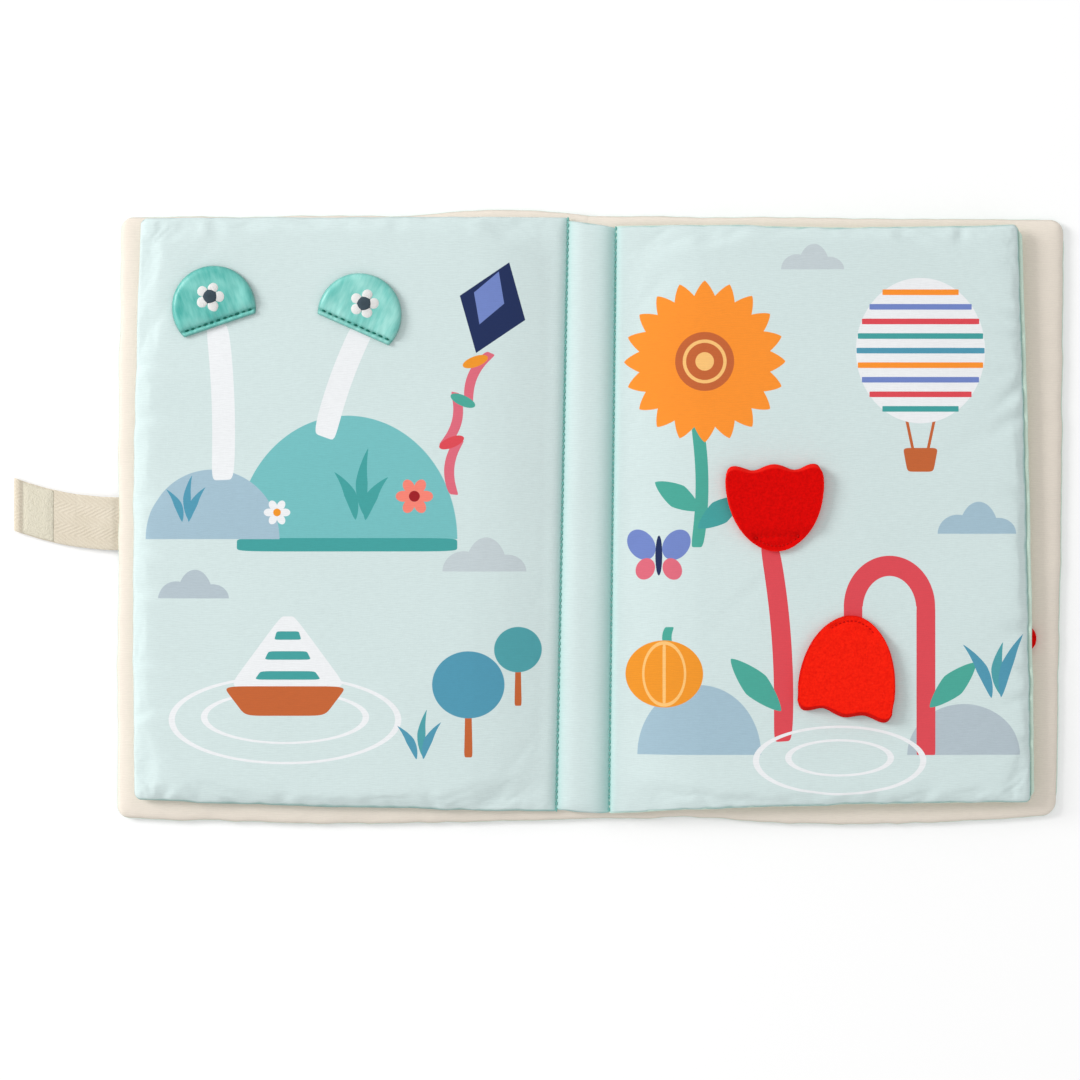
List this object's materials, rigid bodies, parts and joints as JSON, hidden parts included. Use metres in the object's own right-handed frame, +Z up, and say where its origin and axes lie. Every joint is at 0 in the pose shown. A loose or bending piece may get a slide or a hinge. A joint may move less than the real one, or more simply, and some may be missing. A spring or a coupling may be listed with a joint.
{
  "type": "baby activity book",
  "caption": "Soft padded cloth book for babies, lying open, with turning leaves, lift flaps in satin and felt, and a webbing closing strap.",
  "frame": {"origin": "middle of the open book's footprint, on the surface that it lies on", "axes": "+X towards the right fore edge, with the strap at -X; +Y towards the head of the pages; +Z up, out of the pages"},
  "size_m": [0.3924, 0.227, 0.0141],
  "materials": {
    "cream_cotton": "plain woven cream cotton",
    "aqua_cotton": "fine ribbed cotton, pale aqua, printed",
    "green_cotton": "plain woven light green cotton",
    "wadding": "polyester wadding, hidden",
    "crinkle_film": "thin crinkle film, hidden",
    "teal_thread": "twisted dark teal sewing thread",
    "teal_satin": "turquoise satin with a soft sheen",
    "white_thread": "white satin stitch embroidery",
    "charcoal_thread": "charcoal satin stitch embroidery",
    "red_felt": "thick red felt",
    "red_thread": "red sewing thread",
    "cream_webbing": "cream herringbone cotton webbing",
    "hook_tape": "cream hook and loop tape"
  },
  "bodies": {
    "spine": {"spine_outer_cloth": "green_cotton", "spine_wadding": "wadding", "spine_lining": "cream_cotton", "gutter_back_cloth": "aqua_cotton", "gutter_wadding": "wadding", "gutter_front_cloth": "aqua_cotton", "left_spine_stitching": "teal_thread", "right_spine_stitching": "teal_thread"},
    "left_cover": {"left_cover_outer_cloth": "green_cotton", "left_cover_wadding": "wadding", "left_cover_lining": "cream_cotton", "strap_root": "cream_webbing"},
    "strap": {"strap_webbing": "cream_webbing"},
    "strap_tip": {"strap_end": "cream_webbing", "strap_hook_patch": "hook_tape"},
    "left_leaf": {"left_leaf_back_cloth": "aqua_cotton", "left_leaf_wadding": "wadding", "left_leaf_crinkle_film": "crinkle_film", "left_leaf_front_cloth": "aqua_cotton", "satin_flap_left_hem": "teal_satin", "satin_flap_left_stitching": "teal_thread", "satin_flap_right_hem": "teal_satin", "satin_flap_right_stitching": "teal_thread"},
    "satin_flap_left": {"satin_flap_left_back": "teal_satin", "satin_flap_left_wadding": "wadding", "satin_flap_left_face": "teal_satin", "satin_flap_left_petals": "white_thread", "satin_flap_left_flower_centre": "charcoal_thread"},
    "satin_flap_right": {"satin_flap_right_back": "teal_satin", "satin_flap_right_wadding": "wadding", "satin_flap_right_face": "teal_satin", "satin_flap_right_petals": "white_thread", "satin_flap_right_flower_centre": "charcoal_thread"},
    "right_cover": {"right_cover_outer_cloth": "green_cotton", "right_cover_wadding": "wadding", "right_cover_lining": "cream_cotton", "loop_patch": "hook_tape"},
    "right_leaf": {"right_leaf_back_cloth": "green_cotton", "right_leaf_wadding": "wadding", "right_leaf_crinkle_film": "crinkle_film", "right_leaf_front_cloth": "aqua_cotton", "right_leaf_felt_tab": "red_felt", "felt_flap_upper_root": "red_felt", "felt_flap_upper_stitching": "red_thread", "felt_flap_lower_root": "red_felt", "felt_flap_lower_stitching": "red_thread"},
    "felt_flap_upper": {"felt_flap_upper_felt": "red_felt"},
    "felt_flap_lower": {"felt_flap_lower_felt": "red_felt"}
  },
  "joints": [
    {"name": "left_cover_fold", "type": "hinge", "parent": "spine", "child": "left_cover", "pos_m": [0.00845, 0, 0.00415], "axis": [0, 1, 0], "range_deg": [0, 90]},
    {"name": "right_cover_fold", "type": "hinge", "parent": "spine", "child": "right_cover", "pos_m": [0.02815, 0, 0.00415], "axis": [0, -1, 0], "range_deg": [0, 90]},
    {"name": "left_leaf_turn", "type": "hinge", "parent": "left_cover", "child": "left_leaf", "pos_m": [0.00845, 0, 0.00415], "axis": [0, -1, 0], "range_deg": [-80, 0]},
    {"name": "right_leaf_turn", "type": "hinge", "parent": "right_cover", "child": "right_leaf", "pos_m": [0.02815, 0, 0.00415], "axis": [0, 1, 0], "range_deg": [-80, 0]},
    {"name": "strap_fold", "type": "hinge", "parent": "left_cover", "child": "strap", "pos_m": [-0.15985, -0.0021, 0.00245], "axis": [0, 1, 0], "range_deg": [0, 90]},
    {"name": "strap_tip_fold", "type": "hinge", "parent": "strap", "child": "strap_tip", "pos_m": [-0.1865, -0.0021, 0.00245], "axis": [0, 1, 0], "range_deg": [0, 90]},
    {"name": "satin_flap_left_lift", "type": "hinge", "parent": "left_leaf", "child": "satin_flap_left", "pos_m": [-0.11891, 0.07373, 0.0123], "axis": [-0.9466, -0.3223, 0], "range_deg": [-165, 0]},
    {"name": "satin_flap_right_lift", "type": "hinge", "parent": "left_leaf", "child": "satin_flap_right", "pos_m": [-0.0677, 0.07206, 0.0123], "axis": [-0.9143, 0.4051, 0], "range_deg": [-165, 0]},
    {"name": "felt_flap_upper_lift", "type": "hinge", "parent": "right_leaf", "child": "felt_flap_upper", "pos_m": [0.08857, -0.00551, 0.0141], "axis": [-0.9989, -0.0471, 0], "range_deg": [-165, 0]},
    {"name": "felt_flap_lower_lift", "type": "hinge", "parent": "right_leaf", "child": "felt_flap_lower", "pos_m": [0.11647, -0.04326, 0.0141], "axis": [0.9945, -0.1045, 0], "range_deg": [-135, 0]}
  ]
}
